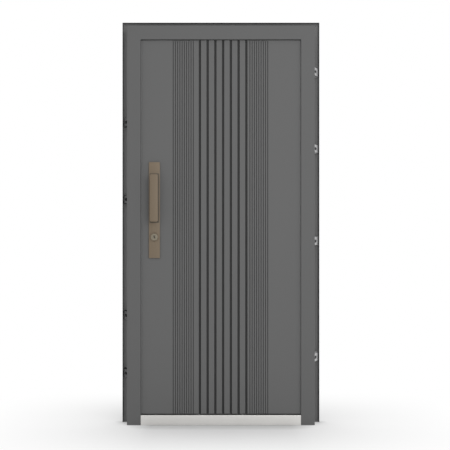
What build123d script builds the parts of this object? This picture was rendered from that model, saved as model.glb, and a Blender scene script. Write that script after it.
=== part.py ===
from build123d import *
import os

# Security front door with its folded steel frame, in millimetres.
# +X is to the right seen from outside, +Y points indoors, +Z is up.
# The origin is at floor level, on the underside of the threshold,
# at the middle of the opening and of the frame's depth.

# Driving dimensions of the frame
opening_width = 810.0
opening_height = 1950.0
frame_depth = 100.0
frame_sheet = 2.0
face_width = 70.0
flange_reach = 30.0
front_lip = 10.0
rear_lip = 12.0
stop_depth = 22.0
rebate_step = 25.0
frame_bend = 3.0

# Driving dimensions of the threshold
threshold_height = 50.0
threshold_sheet = 2.0
threshold_bend = 2.5
threshold_foot_depth = 74.0
threshold_foot_gap = 1.5

# Driving dimensions of the wall straps
strap_height = 40.0
strap_sheet = 3.0
strap_bend = 4.0
strap_front_gap = 1.2
strap_past_lip = 1.0
strap_corner_inset = 4.0
strap_foot_length = 24.0
strap_slot_length = 42.0
strap_slot_width = 15.0
strap_slot_from_bend = 31.0
hinge_straps_above_floor = (339.0, 930.0)
hinge_straps_below_head = (549.0, 158.0)
lock_straps_above_floor = (257.0, 552.0)
lock_straps_below_head = (808.0, 415.0)

# Driving dimensions of the seals
seal_width = 8.0
seal_depth = 5.5
seal_inset = 4.0
seal_round = 2.5
seal_end_gap = 0.3

# Driving dimensions of the leaf
leaf_side_gap = 10.0
leaf_head_gap = 10.0
leaf_floor_gap = 10.0
leaf_stop_gap = 6.0
leaf_depth = 56.0
leaf_sheet = 1.5
cladding_thickness = 16.0
cladding_side_gap = 6.5
cladding_end_gap = 6.0
lining_thickness = 12.0
lining_inset = 7.0

# Driving dimensions of the grooves, places counted from the leaf's centre line
wide_groove_count = 7
wide_groove_start = -106.2
wide_groove_pitch = 39.2
wide_groove_width = 11.4
wide_groove_floor = 8.4
wide_groove_depth = 10.0
fine_groove_pitch = 11.3
fine_groove_width = 3.6
fine_groove_floor = 1.4
fine_groove_depth = 3.5
left_fine_start = -241.5
left_fine_count = 10
right_fine_start = 147.1
right_fine_count = 9
lining_wide_depth = 4.0
lining_fine_depth = 2.0

# Driving dimensions of the pull handle and its plate
handle_backset = 83.5
plate_width = 56.0
plate_height = 486.0
plate_below_cylinder = 106.5
plate_thickness = 8.0
plate_corner = 2.0
plate_edge = 1.0
grip_width = 41.0
grip_height = 240.0
grip_above_cylinder = 77.5
grip_stand_off = 42.0
grip_bar = 12.0
grip_corner = 8.0
grip_edge = 2.5
post_radius = 11.0
post_inset = 30.0

# Driving dimensions of the lock cylinder's guard and plug
cylinder_height = 950.5
guard_radius = 21.0
guard_rise = 7.0
disc_radius = 17.5
disc_rise = 6.5
disc_gap = 0.2
plug_radius = 8.5
plug_gap = 0.25
plug_seat_gap = 0.3
plug_recess = 0.3
keyhole_width = 2.6
keyhole_height = 9.5
keyhole_depth = 4.5

# Driving dimensions of the hinges
hinge_axis_out = 17.0
hinge_axis_back = 12.0
hinge_above_floor = 230.0
hinge_below_head = 210.0
knuckle_radius = 10.0
knuckle_length = 50.0
knuckle_gap = 0.5
hinge_pin_radius = 5.0
hinge_pin_gap = 0.3
hinge_plate_thickness = 6.0
hinge_plate_width = 48.0
hinge_arm_thickness = 6.0
hinge_block_width = 34.0
hinge_block_inset = 2.0

# Driving dimensions of the security pins on the hinge edge
pins_above_floor = (420.0, 800.0)
pins_below_head = (390.0,)
pin_radius = 7.0
pin_reach = 20.0
pin_point = 3.0
pin_hole_gap = 5.0

# Driving dimensions of the lock on the other edge
faceplate_width = 24.0
faceplate_thickness = 3.0
faceplate_bottom = 400.0
faceplate_top = 1500.0
faceplate_gap = 0.3
bolt_heights = (480.0, 880.0, 1420.0)
bolt_radius = 9.0
bolt_length = 50.0
bolt_gap = 0.3
latch_centre = 1010.0
latch_height = 26.0
latch_width = 13.0
latch_bevel = 9.0
strike_hole_gap = 3.0
strike_window_gap = 6.0
strike_thickness = 3.0
strike_width = 38.0
strike_margin = 40.0

# Driving dimensions of the indoor fittings
inner_plate_width = 50.0
inner_plate_below_cylinder = 50.5
inner_plate_height = 250.0
inner_plate_thickness = 7.0
inner_plate_corner = 8.0
lever_above_cylinder = 134.5
lever_width = 20.0
lever_bar = 8.0
lever_stand_off = 52.0
lever_length = 118.0
lever_bend = 14.0
lever_collar_radius = 15.0
lever_collar = 5.0
turn_rose_radius = 14.0
turn_rose = 6.0
turn_width = 10.0
turn_height = 34.0
turn_depth = 18.0

# Places that follow from the driving dimensions
opening_half = opening_width / 2
front = -frame_depth / 2
back = frame_depth / 2
stop_back = front + stop_depth
rebate_half = opening_half + rebate_step
rebate_top = opening_height + rebate_step
flange_width = face_width + flange_reach

leaf_half = rebate_half - leaf_side_gap
leaf_bottom = leaf_floor_gap
leaf_top = rebate_top - leaf_head_gap
leaf_front = stop_back + leaf_stop_gap
leaf_back = leaf_front + leaf_depth
leaf_middle = (leaf_front + leaf_back) / 2

cladding_front = leaf_front - cladding_thickness
cladding_half = opening_half - cladding_side_gap
cladding_bottom = threshold_height + cladding_end_gap
cladding_top = opening_height - cladding_end_gap
lining_back = leaf_back + lining_thickness
lining_half = leaf_half - lining_inset

handle_x = -(leaf_half - handle_backset)
plate_front = cladding_front - plate_thickness
plate_bottom = cylinder_height - plate_below_cylinder
grip_bottom = cylinder_height + grip_above_cylinder
inner_plate_bottom = cylinder_height - inner_plate_below_cylinder
lever_height = cylinder_height + lever_above_cylinder
hinge_x = leaf_half + hinge_axis_out
hinge_y = back + hinge_axis_back


def heights(above_floor, below_head):
    """Heights from those counted up from the floor and down from the opening's top."""
    return tuple(above_floor) + tuple(opening_height - drop for drop in below_head)


hinge_strap_heights = heights(hinge_straps_above_floor, hinge_straps_below_head)
lock_strap_heights = heights(lock_straps_above_floor, lock_straps_below_head)
pin_heights = heights(pins_above_floor, pins_below_head)
lowest_hinge, highest_hinge = heights([hinge_above_floor], [hinge_below_head])
hinge_heights = (lowest_hinge, (lowest_hinge + highest_hinge) / 2, highest_hinge)


def block(x_range, y_range, z_range):
    """A box from its lowest and highest x, y and z."""
    size = [high - low for low, high in (x_range, y_range, z_range)]
    middle = [(high + low) / 2 for low, high in (x_range, y_range, z_range)]
    return Pos(*middle) * Box(*size)


def upright(radius, z_range, x=0.0, y=0.0):
    """A round bar that stands on end."""
    low, high = z_range
    return Pos(x, y, (low + high) / 2) * Cylinder(radius, high - low)


def bar_along_x(radius, x_range, y, z):
    """A round bar that lies from left to right."""
    low, high = x_range
    return Pos((low + high) / 2, y, z) * Rot(0, 90, 0) * Cylinder(radius, high - low)


def folded_section(points, bends, thickness, side):
    """The cross-section of bent sheet, from the outline of one of its faces.

    The outer side of each bend is round, and bends gives its radius at each corner.
    """
    outline = Wire(Polyline(*points).edges())
    strip = outline.offset_2d(thickness, kind=Kind.INTERSECTION, side=side, closed=True)
    section = make_face(strip.edges())
    for point, bend in zip(points[1:-1], bends):
        if bend:
            corner = section.vertices().sort_by_distance(Vector(*point))[0]
            section = fillet(corner, bend)
    return section


def frame_section():
    """The folded section of jamb and head.

    X is the distance out from the opening's edge, Y the depth from the front.
    """
    points = (
        (face_width, front_lip),
        (face_width, 0),
        (0, 0),
        (0, stop_depth),
        (rebate_step, stop_depth),
        (rebate_step, frame_depth),
        (flange_width, frame_depth),
        (flange_width, frame_depth - rear_lip),
    )
    bends = (frame_bend, frame_bend, frame_bend, 0, frame_bend, frame_bend)
    return folded_section(points, bends, frame_sheet, Side.RIGHT)


def mitre(side):
    """The plane of the 45 degree joint between a jamb and the head."""
    corner = (side * opening_half, 0, opening_height)
    return Plane(origin=corner, z_dir=(-side, 0, 1))


def plain_jamb(side):
    """A jamb without its holes. Side is 1 for the right one and -1 for the left."""
    section = Pos(opening_half, front, 0) * frame_section()
    length = extrude(section, amount=opening_height + flange_width, dir=(0, 0, 1))
    right_jamb = split(length, bisect_by=mitre(1), keep=Keep.BOTTOM)
    if side > 0:
        return right_jamb
    return mirror(right_jamb, about=Plane.YZ)


def hinge_jamb():
    wall = (rebate_half - frame_sheet, rebate_half + 2 * frame_sheet)
    jamb = plain_jamb(1)
    for height in pin_heights:
        jamb -= bar_along_x(pin_radius + pin_hole_gap, wall, leaf_middle, height)
    return jamb


def lock_holes(x_range):
    """What is cut out of the strike plate for the bolts and the latch."""
    holes = []
    for height in bolt_heights:
        holes.append(bar_along_x(bolt_radius + strike_hole_gap, x_range, leaf_middle, height))
    latch_half = latch_height / 2 + strike_hole_gap
    latch_side = latch_width / 2 + strike_hole_gap
    holes.append(block(
        x_range,
        (leaf_middle - latch_side, leaf_middle + latch_side),
        (latch_centre - latch_half, latch_centre + latch_half),
    ))
    return holes


def strike_windows(x_range):
    """What is cut out of the jamb in front of the strike plate's holes."""
    side = bolt_radius + strike_window_gap
    latch_half = latch_height / 2 + strike_window_gap
    low_bolt, main_bolt, high_bolt = bolt_heights
    spans = (
        (low_bolt - side, low_bolt + side),
        (main_bolt - side, latch_centre + latch_half),
        (high_bolt - side, high_bolt + side),
    )
    return [block(x_range, (leaf_middle - side, leaf_middle + side), span) for span in spans]


def lock_jamb():
    wall = (-rebate_half - 2 * frame_sheet, -rebate_half + frame_sheet)
    jamb = plain_jamb(-1)
    for window in strike_windows(wall):
        jamb -= window
    return jamb


def head_rail():
    reach = opening_half + flange_width
    plane = Plane(origin=(reach, front, opening_height), x_dir=(0, 0, 1), z_dir=(-1, 0, 0))
    rail = extrude(plane * frame_section(), amount=2 * reach, dir=(-1, 0, 0))
    rail = split(rail, bisect_by=mitre(1), keep=Keep.TOP)
    return split(rail, bisect_by=mitre(-1), keep=Keep.TOP)


def threshold():
    """A stainless upstand flush with the frame's front, and the foot behind it."""
    points = (
        (front, 0),
        (front, threshold_height),
        (stop_back, threshold_height),
        (stop_back, threshold_sheet),
        (stop_back + threshold_foot_depth, threshold_sheet),
    )
    bends = (threshold_bend, threshold_bend, 0)
    section = folded_section(points, bends, threshold_sheet, Side.RIGHT)
    plane = Plane(origin=(-opening_half, 0, 0), x_dir=(0, 1, 0), z_dir=(1, 0, 0))
    upstand = extrude(plane * section, amount=opening_width, dir=(1, 0, 0))
    foot = block(
        (-rebate_half, rebate_half),
        (stop_back + threshold_foot_gap, stop_back + threshold_foot_depth),
        (0, threshold_sheet),
    )
    return upstand + foot


def strap_path():
    """The strap's outer face in the right jamb, as distances out and back."""
    front_bend = (face_width - frame_sheet, front_lip + strap_past_lip)
    corner = (flange_width - strap_corner_inset, frame_depth - frame_sheet)
    return (
        (front_bend[0], frame_sheet + strap_front_gap),
        front_bend,
        corner,
        (corner[0] - strap_foot_length, corner[1]),
    )


def strap(side, height):
    """A slotted strap across the open side of a jamb."""
    path = strap_path()
    section = folded_section(path, (strap_bend, strap_bend), strap_sheet, Side.LEFT)
    bottom = height - strap_height / 2
    solid = extrude(Pos(opening_half, front, bottom) * section, amount=strap_height, dir=(0, 0, 1))

    run = (Vector(*path[2]) - Vector(*path[1])).normalized()
    across = Vector(run.Y, -run.X)
    place = Vector(*path[1]) + run * strap_slot_from_bend
    slot_plane = Plane(
        origin=(opening_half + place.X, front + place.Y, height),
        x_dir=run,
        z_dir=across,
    )
    slot = slot_plane * SlotOverall(strap_slot_length, strap_slot_width)
    solid -= extrude(slot, amount=2 * strap_sheet, both=True)
    if side > 0:
        return solid
    return mirror(solid, about=Plane.YZ)


def seal_section():
    """A seal's cross-section: X across it, Y back from the face that carries it."""
    strip = Pos(seal_width / 2, seal_depth / 2) * Rectangle(seal_width, seal_depth)
    back_corners = strip.vertices().group_by(Axis.Y)[-1]
    return fillet(back_corners, seal_round)


def side_seal(side):
    strip = extrude(
        Pos(opening_half + seal_inset, stop_back, threshold_sheet + seal_end_gap) * seal_section(),
        amount=opening_height + seal_inset + seal_width - threshold_sheet - seal_end_gap,
        dir=(0, 0, 1),
    )
    if side > 0:
        return strip
    return mirror(strip, about=Plane.YZ)


def level_seal(bottom, half_length):
    """A seal that lies level, on the head or on the threshold."""
    section = seal_section()
    plane = Plane(
        origin=(half_length, stop_back, bottom),
        x_dir=(0, 0, 1),
        z_dir=(-1, 0, 0),
    )
    return extrude(plane * section, amount=2 * half_length, dir=(-1, 0, 0))


def head_seal():
    return level_seal(opening_height + seal_inset, opening_half + seal_inset - seal_end_gap)


def threshold_seal():
    bottom = threshold_height - threshold_bend - seal_inset - seal_width
    return level_seal(bottom, opening_half - seal_end_gap)


def strike_plate():
    """The plate behind the lock jamb's wall that takes the bolts."""
    thickness = (-rebate_half - frame_sheet - strike_thickness, -rebate_half - frame_sheet)
    plate = block(
        thickness,
        (leaf_middle - strike_width / 2, leaf_middle + strike_width / 2),
        (bolt_heights[0] - strike_margin, bolt_heights[-1] + strike_margin),
    )
    for hole in lock_holes((thickness[0] - strike_thickness, thickness[1] + strike_thickness)):
        plate -= hole
    return plate


def hinge_frame_half(height):
    """The half that is fixed to the frame: a plate, the lower knuckle and the pin."""
    span = (height - knuckle_length, height)
    plate = block(
        (hinge_x, hinge_x + hinge_plate_width),
        (back, back + hinge_plate_thickness),
        span,
    )
    knuckle = upright(knuckle_radius, span, hinge_x, hinge_y)
    pin = upright(hinge_pin_radius, (height, height + knuckle_length), hinge_x, hinge_y)
    return plate + knuckle + pin


def hinge_leaf_half(height):
    """The half that is fixed to the leaf: a block, an arm and the upper knuckle."""
    span = (height + knuckle_gap, height + knuckle_length)
    arm_front = hinge_y - hinge_arm_thickness
    block_edge = leaf_half - hinge_block_inset
    foot = block(
        (block_edge - hinge_block_width, block_edge),
        (lining_back, hinge_y),
        span,
    )
    arm = block((block_edge - hinge_block_width, hinge_x), (arm_front, hinge_y), span)
    knuckle = upright(knuckle_radius, span, hinge_x, hinge_y)
    bore = upright(hinge_pin_radius + hinge_pin_gap, span, hinge_x, hinge_y)
    return foot + arm + knuckle - bore


def leaf_tray():
    """The leaf's steel shell, open towards the indoor side."""
    outside = block(
        (-leaf_half, leaf_half),
        (leaf_front, leaf_back - leaf_sheet),
        (leaf_bottom, leaf_top),
    )
    inside = block(
        (-leaf_half + leaf_sheet, leaf_half - leaf_sheet),
        (leaf_front + leaf_sheet, leaf_back),
        (leaf_bottom + leaf_sheet, leaf_top - leaf_sheet),
    )
    window_side = faceplate_width / 2 + faceplate_gap
    lock_window = block(
        (-leaf_half - leaf_sheet, -leaf_half + 2 * leaf_sheet),
        (leaf_middle - window_side, leaf_middle + window_side),
        (faceplate_bottom - faceplate_gap, faceplate_top + faceplate_gap),
    )
    return outside - inside - lock_window


def leaf_back_sheet():
    return block(
        (-leaf_half, leaf_half),
        (leaf_back - leaf_sheet, leaf_back),
        (leaf_bottom, leaf_top),
    )


def groove(x, width, floor, depth):
    """A groove's cross-section, cut down from the panel's face at Y = 0."""
    corners = (
        (x - width / 2, 0),
        (x + width / 2, 0),
        (x + floor / 2, depth),
        (x - floor / 2, depth),
    )
    return make_face(Polyline(*corners, close=True).edges())


def grooved_section(half_width, thickness, wide_depth, fine_depth):
    """A panel's cross-section with one field of wide and two of fine grooves."""
    section = Pos(0, thickness / 2) * Rectangle(2 * half_width, thickness)
    for count in range(wide_groove_count):
        x = wide_groove_start + count * wide_groove_pitch
        section -= groove(x, wide_groove_width, wide_groove_floor, wide_depth)
    for start, number in ((left_fine_start, left_fine_count), (right_fine_start, right_fine_count)):
        for count in range(number):
            x = start + count * fine_groove_pitch
            section -= groove(x, fine_groove_width, fine_groove_floor, fine_depth)
    return section


def cladding_panel():
    """The grooved outdoor panel."""
    section = grooved_section(
        cladding_half, cladding_thickness, wide_groove_depth, fine_groove_depth
    )
    height = cladding_top - cladding_bottom
    return extrude(Pos(0, cladding_front, cladding_bottom) * section, amount=height, dir=(0, 0, 1))


def lining_panel():
    """The indoor panel, with the same grooves cut shallower."""
    section = grooved_section(lining_half, lining_thickness, lining_wide_depth, lining_fine_depth)
    section = mirror(section, about=Plane.XZ)
    bottom = leaf_bottom + lining_inset
    height = leaf_top - lining_inset - bottom
    return extrude(Pos(0, lining_back, bottom) * section, amount=height, dir=(0, 0, 1))


def pull_plate():
    plate = block(
        (handle_x - plate_width / 2, handle_x + plate_width / 2),
        (plate_front, cladding_front),
        (plate_bottom, plate_bottom + plate_height),
    )
    plate = fillet(plate.edges().filter_by(Axis.Y), plate_corner)
    return chamfer(plate.faces().sort_by(Axis.Y)[0].edges(), plate_edge)


def pull_grip():
    """A flat bar with round corners, on two posts."""
    grip_front = plate_front - grip_stand_off
    grip_top = grip_bottom + grip_height
    bar = block(
        (handle_x - grip_width / 2, handle_x + grip_width / 2),
        (grip_front, grip_front + grip_bar),
        (grip_bottom, grip_top),
    )
    bar = fillet(bar.edges().filter_by(Axis.Y), grip_corner)
    bar = chamfer(bar.faces().sort_by(Axis.Y)[0].edges(), grip_edge)
    for height in (grip_bottom + post_inset, grip_top - post_inset):
        start = Plane(origin=(handle_x, plate_front, height), z_dir=(0, -1, 0))
        bar += extrude(start * Circle(post_radius), amount=grip_stand_off - grip_bar)
    return bar


def turned_about_cylinder(outline):
    """A turned piece on the lock's axis, from radii and distances off the plate."""
    points = [(radius, -rise) for radius, rise in outline]
    profile = make_face(Polyline(*points, close=True).edges())
    turned = revolve(profile, axis=Axis.Y)
    return Pos(handle_x, plate_front, cylinder_height) * turned


def cylinder_guard():
    """The ring that shields the lock cylinder."""
    bore = disc_radius + disc_gap
    return turned_about_cylinder((
        (bore, 0),
        (guard_radius, 0),
        (guard_radius, guard_rise),
        (bore, guard_rise),
    ))


def guard_disc():
    """The hard disc inside the ring, with the bore for the plug."""
    bore = plug_radius + plug_gap
    return turned_about_cylinder((
        (bore, 0),
        (disc_radius, 0),
        (disc_radius, disc_rise),
        (bore, disc_rise),
    ))


def cylinder_plug():
    """The part of the lock that turns with the key."""
    face = disc_rise - plug_recess
    plug = turned_about_cylinder((
        (0, plug_seat_gap),
        (plug_radius, plug_seat_gap),
        (plug_radius, face),
        (0, face),
    ))
    keyhole = block(
        (handle_x - keyhole_width / 2, handle_x + keyhole_width / 2),
        (plate_front - face - keyhole_depth, plate_front - face + keyhole_depth),
        (cylinder_height - keyhole_height / 2, cylinder_height + keyhole_height / 2),
    )
    return plug - keyhole


def lock_faceplate():
    plate = block(
        (-leaf_half, -leaf_half + faceplate_thickness),
        (leaf_middle - faceplate_width / 2, leaf_middle + faceplate_width / 2),
        (faceplate_bottom, faceplate_top),
    )
    holes = (-leaf_half - faceplate_thickness, -leaf_half + 2 * faceplate_thickness)
    for height in bolt_heights:
        plate -= bar_along_x(bolt_radius + bolt_gap, holes, leaf_middle, height)
    latch_side = latch_width / 2 + bolt_gap
    latch_half = latch_height / 2 + bolt_gap
    return plate - block(
        holes,
        (leaf_middle - latch_side, leaf_middle + latch_side),
        (latch_centre - latch_half, latch_centre + latch_half),
    )


def lock_bolts():
    """The round bolts, drawn back flush with the faceplate."""
    bolts = []
    for height in bolt_heights:
        reach = (-leaf_half, -leaf_half + bolt_length)
        bolts.append(bar_along_x(bolt_radius, reach, leaf_middle, height))
    return Compound(children=bolts)


def latch_bolt():
    latch = block(
        (-leaf_half, -leaf_half + bolt_length),
        (leaf_middle - latch_width / 2, leaf_middle + latch_width / 2),
        (latch_centre - latch_height / 2, latch_centre + latch_height / 2),
    )
    slope = latch.edges().filter_by(Axis.Z).group_by(Axis.X)[0].sort_by(Axis.Y)[-1]
    return chamfer(slope, latch_bevel)


def security_pins():
    """The fixed pins on the hinge edge, which sink into the jamb's holes."""
    pins = []
    for height in pin_heights:
        pin = bar_along_x(pin_radius, (leaf_half, leaf_half + pin_reach), leaf_middle, height)
        pins.append(chamfer(pin.faces().sort_by(Axis.X)[-1].edges(), pin_point))
    return Compound(children=pins)


def inner_plate():
    plate = block(
        (handle_x - inner_plate_width / 2, handle_x + inner_plate_width / 2),
        (lining_back, lining_back + inner_plate_thickness),
        (inner_plate_bottom, inner_plate_bottom + inner_plate_height),
    )
    plate = fillet(plate.edges().filter_by(Axis.Y), inner_plate_corner)
    return chamfer(plate.faces().sort_by(Axis.Y)[-1].edges(), plate_edge)


def inner_lever():
    """A bent flat bar that points towards the hinges, on a round collar."""
    foot = lining_back + inner_plate_thickness
    path = (
        (handle_x - lever_bar / 2, foot),
        (handle_x - lever_bar / 2, foot + lever_stand_off),
        (handle_x + lever_length, foot + lever_stand_off),
    )
    section = folded_section(path, (lever_bend,), lever_bar, Side.RIGHT)
    bottom = lever_height - lever_width / 2
    bar = extrude(Pos(0, 0, bottom) * section, amount=lever_width, dir=(0, 0, 1))
    start = Plane(origin=(handle_x, foot, lever_height), z_dir=(0, 1, 0))
    return bar + extrude(start * Circle(lever_collar_radius), amount=lever_collar)


def thumb_turn():
    foot = lining_back + inner_plate_thickness
    start = Plane(origin=(handle_x, foot, cylinder_height), x_dir=(1, 0, 0), z_dir=(0, 1, 0))
    rose = extrude(start * Circle(turn_rose_radius), amount=turn_rose)
    wing = extrude(start * SlotOverall(turn_height, turn_width, rotation=90), amount=turn_rose + turn_depth)
    return rose + wing


def all_nodes():
    """Every piece by its name."""
    nodes = {
        "lock_jamb": lock_jamb(),
        "hinge_jamb": hinge_jamb(),
        "head_rail": head_rail(),
        "threshold": threshold(),
        "lock_side_seal": side_seal(-1),
        "hinge_side_seal": side_seal(1),
        "head_seal": head_seal(),
        "threshold_seal": threshold_seal(),
        "strike_plate": strike_plate(),
        "leaf_tray": leaf_tray(),
        "leaf_back_sheet": leaf_back_sheet(),
        "cladding_panel": cladding_panel(),
        "lining_panel": lining_panel(),
        "pull_plate": pull_plate(),
        "pull_grip": pull_grip(),
        "cylinder_guard": cylinder_guard(),
        "guard_disc": guard_disc(),
        "cylinder_plug": cylinder_plug(),
        "lock_faceplate": lock_faceplate(),
        "lock_bolts": lock_bolts(),
        "latch_bolt": latch_bolt(),
        "security_pins": security_pins(),
        "inner_plate": inner_plate(),
        "inner_lever": inner_lever(),
        "thumb_turn": thumb_turn(),
    }
    for number, height in enumerate(hinge_strap_heights, start=1):
        nodes[f"hinge_strap_{number}"] = strap(1, height)
    for number, height in enumerate(lock_strap_heights, start=1):
        nodes[f"lock_strap_{number}"] = strap(-1, height)
    for number, height in enumerate(hinge_heights, start=1):
        nodes[f"hinge_frame_half_{number}"] = hinge_frame_half(height)
        nodes[f"hinge_leaf_half_{number}"] = hinge_leaf_half(height)
    return nodes


os.makedirs("parts", exist_ok=True)
for name, solid in all_nodes().items():
    export_step(solid, f"parts/{name}.step")
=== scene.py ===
import math

import bpy
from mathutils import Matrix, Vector


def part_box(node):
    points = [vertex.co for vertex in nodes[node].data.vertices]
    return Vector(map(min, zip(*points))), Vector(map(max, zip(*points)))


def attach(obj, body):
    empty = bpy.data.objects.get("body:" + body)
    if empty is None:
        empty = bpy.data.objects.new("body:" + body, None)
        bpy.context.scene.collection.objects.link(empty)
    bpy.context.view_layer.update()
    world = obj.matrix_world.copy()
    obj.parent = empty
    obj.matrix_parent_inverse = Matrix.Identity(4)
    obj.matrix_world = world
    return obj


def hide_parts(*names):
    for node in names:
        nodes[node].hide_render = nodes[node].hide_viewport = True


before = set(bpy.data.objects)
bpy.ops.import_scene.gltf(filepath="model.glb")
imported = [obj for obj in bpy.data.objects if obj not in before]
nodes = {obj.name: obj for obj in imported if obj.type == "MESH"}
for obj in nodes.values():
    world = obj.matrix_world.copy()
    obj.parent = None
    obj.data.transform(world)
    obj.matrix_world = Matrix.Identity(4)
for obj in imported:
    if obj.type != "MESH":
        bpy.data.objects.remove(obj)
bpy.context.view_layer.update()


# The folded jambs and the head rail
# They are 2 mm steel sheet, bent on a press brake, mitred and welded at the top corners,
# and powder coated in a matte mid grey with the fine orange peel that such coats have.
# The rear flange, which plaster covers later, is primer grey, painted lighter as painted light
# where the channel shades it: most on the lock side, which lies in the lamp's shadow, and less
# near that jamb's top corner.

def new_material(name):
    """An empty material with its shader, and the object's own coordinates."""
    material = bpy.data.materials.new(name)
    material.use_nodes = True
    tree = material.node_tree
    shader = tree.nodes["Principled BSDF"]
    place = tree.nodes.new("ShaderNodeTexCoord")
    return material, tree, shader, place.outputs["Object"]


def add_node(tree, kind, values=None, links=None, **settings):
    """A node with its settings and input values, fed by the sockets in links."""
    node = tree.nodes.new(kind)
    for name, value in settings.items():
        setattr(node, name, value)
    for name, value in (values or {}).items():
        node.inputs[name].default_value = value
    for name, socket in (links or {}).items():
        tree.links.new(socket, node.inputs[name])
    return node


def start_group(name, inputs, outputs):
    """An empty node group, with its inputs, its outputs and their kinds."""
    group = bpy.data.node_groups.new(name, "ShaderNodeTree")
    for label, kind in inputs.items():
        group.interface.new_socket(label, in_out="INPUT", socket_type="NodeSocket" + kind)
    for label, kind in outputs.items():
        group.interface.new_socket(label, in_out="OUTPUT", socket_type="NodeSocket" + kind)
    given = group.nodes.new("NodeGroupInput").outputs
    result = group.nodes.new("NodeGroupOutput").inputs
    return group, given, result


def shaded_colour(tree, colour, noise, depth):
    """The colour made lighter and darker about its own level by a noise."""
    swing = add_node(tree, "ShaderNodeMath", {1: 0.5}, {0: noise}, operation="SUBTRACT")
    level = add_node(tree, "ShaderNodeMath", {2: 1.0}, {0: swing.outputs[0], 1: depth},
                     operation="MULTIPLY_ADD")
    tint = add_node(tree, "ShaderNodeVectorMath", {},
                    {0: colour, "Scale": level.outputs[0]}, operation="SCALE")
    return tint.outputs[0]


coat_group, given, result = start_group(
    "powder_coat",
    {"Place": "Vector", "Colour": "Color", "Peel Scale": "Float", "Cloud Depth": "Float",
     "Roughness": "Float"},
    {"Colour": "Color", "Roughness": "Float", "Height": "Float"},
)
peel = add_node(coat_group, "ShaderNodeTexNoise", {"Detail": 3.0, "Roughness": 0.55},
                {"Vector": given["Place"], "Scale": given["Peel Scale"]})
clouds = add_node(coat_group, "ShaderNodeTexNoise", {"Scale": 2.3, "Detail": 4.0},
                  {"Vector": given["Place"]})
clouded = shaded_colour(coat_group, given["Colour"], clouds.outputs["Fac"], given["Cloud Depth"])
rough = add_node(coat_group, "ShaderNodeMath", {1: 0.12},
                 {0: peel.outputs["Fac"], 2: given["Roughness"]}, operation="MULTIPLY_ADD")
coat_group.links.new(clouded, result["Colour"])
coat_group.links.new(rough.outputs[0], result["Roughness"])
coat_group.links.new(peel.outputs["Fac"], result["Height"])


wear_group, given, result = start_group(
    "edge_wear",
    {"Place": "Vector", "Colour": "Color", "Worn Colour": "Color", "Radius": "Float",
     "Amount": "Float"},
    {"Colour": "Color"},
)
turned = add_node(wear_group, "ShaderNodeBevel", {}, {"Radius": given["Radius"]}, samples=4)
surface = add_node(wear_group, "ShaderNodeNewGeometry")
agreement = add_node(wear_group, "ShaderNodeVectorMath", {},
                     {0: turned.outputs["Normal"], 1: surface.outputs["Normal"]},
                     operation="DOT_PRODUCT")
edge_share = add_node(wear_group, "ShaderNodeMapRange",
                      {"From Min": 0.99, "From Max": 0.82, "To Min": 0.0, "To Max": 1.0},
                      {"Value": agreement.outputs["Value"]})
patches = add_node(wear_group, "ShaderNodeTexNoise", {"Scale": 140.0, "Detail": 4.0},
                   {"Vector": given["Place"]})
patchy = add_node(wear_group, "ShaderNodeMapRange", {"From Min": 0.35, "From Max": 0.65},
                  {"Value": patches.outputs["Fac"], "To Max": given["Amount"]})
rubbed = add_node(wear_group, "ShaderNodeMath", {},
                  {0: edge_share.outputs["Result"], 1: patchy.outputs["Result"]},
                  operation="MULTIPLY")
worn = add_node(wear_group, "ShaderNodeMix", {},
                {"Factor": rubbed.outputs[0], 6: given["Colour"], 7: given["Worn Colour"]},
                data_type="RGBA")
wear_group.links.new(worn.outputs[2], result["Colour"])


def placed_group(tree, group, values, place):
    """One use of a node group in a material."""
    return add_node(tree, "ShaderNodeGroup", values, {"Place": place}, node_tree=group)


def softened_normal(tree, radius, height, depth):
    """The normal of a surface whose edges are eased, with a fine relief on it."""
    eased = add_node(tree, "ShaderNodeBevel", {"Radius": radius}, samples=4)
    relief = add_node(tree, "ShaderNodeBump", {"Distance": depth},
                      {"Height": height, "Normal": eased.outputs["Normal"]})
    return relief.outputs["Normal"]


def worn_edges(tree, place, colour_socket, colour, lift, radius, amount):
    """The colour of a surface whose edges have rubbed lighter."""
    worn_colour = (*(lift * channel for channel in colour), 1.0)
    wear = placed_group(tree, wear_group, {
        "Worn Colour": worn_colour, "Radius": radius, "Amount": amount,
    }, place)
    tree.links.new(colour_socket, wear.inputs["Colour"])
    return wear.outputs["Colour"]


def powder_coated(name, colour, roughness=0.5, edge=0.0008, peel_scale=620.0):
    """A matte powder coat, a little lighter where its edges are rubbed."""
    material, tree, shader, place = new_material(name)
    coat = placed_group(tree, coat_group, {
        "Colour": (*colour, 1.0), "Peel Scale": peel_scale, "Cloud Depth": 0.05,
        "Roughness": roughness,
    }, place)
    worn = worn_edges(tree, place, coat.outputs["Colour"], colour, lift=1.7, radius=0.0012,
                      amount=0.35)
    tree.links.new(worn, shader.inputs["Base Color"])
    tree.links.new(coat.outputs["Roughness"], shader.inputs["Roughness"])
    tree.links.new(softened_normal(tree, edge, coat.outputs["Height"], depth=0.00012),
                   shader.inputs["Normal"])
    shader.inputs["Specular IOR Level"].default_value = 0.3
    return material


def coat_nodes(names, material):
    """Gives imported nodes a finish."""
    for name in names:
        surface = nodes[name].data.materials
        surface.clear()
        surface.append(material)


corner_fade_start = 0.12
corner_fade_end = 0.03


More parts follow.
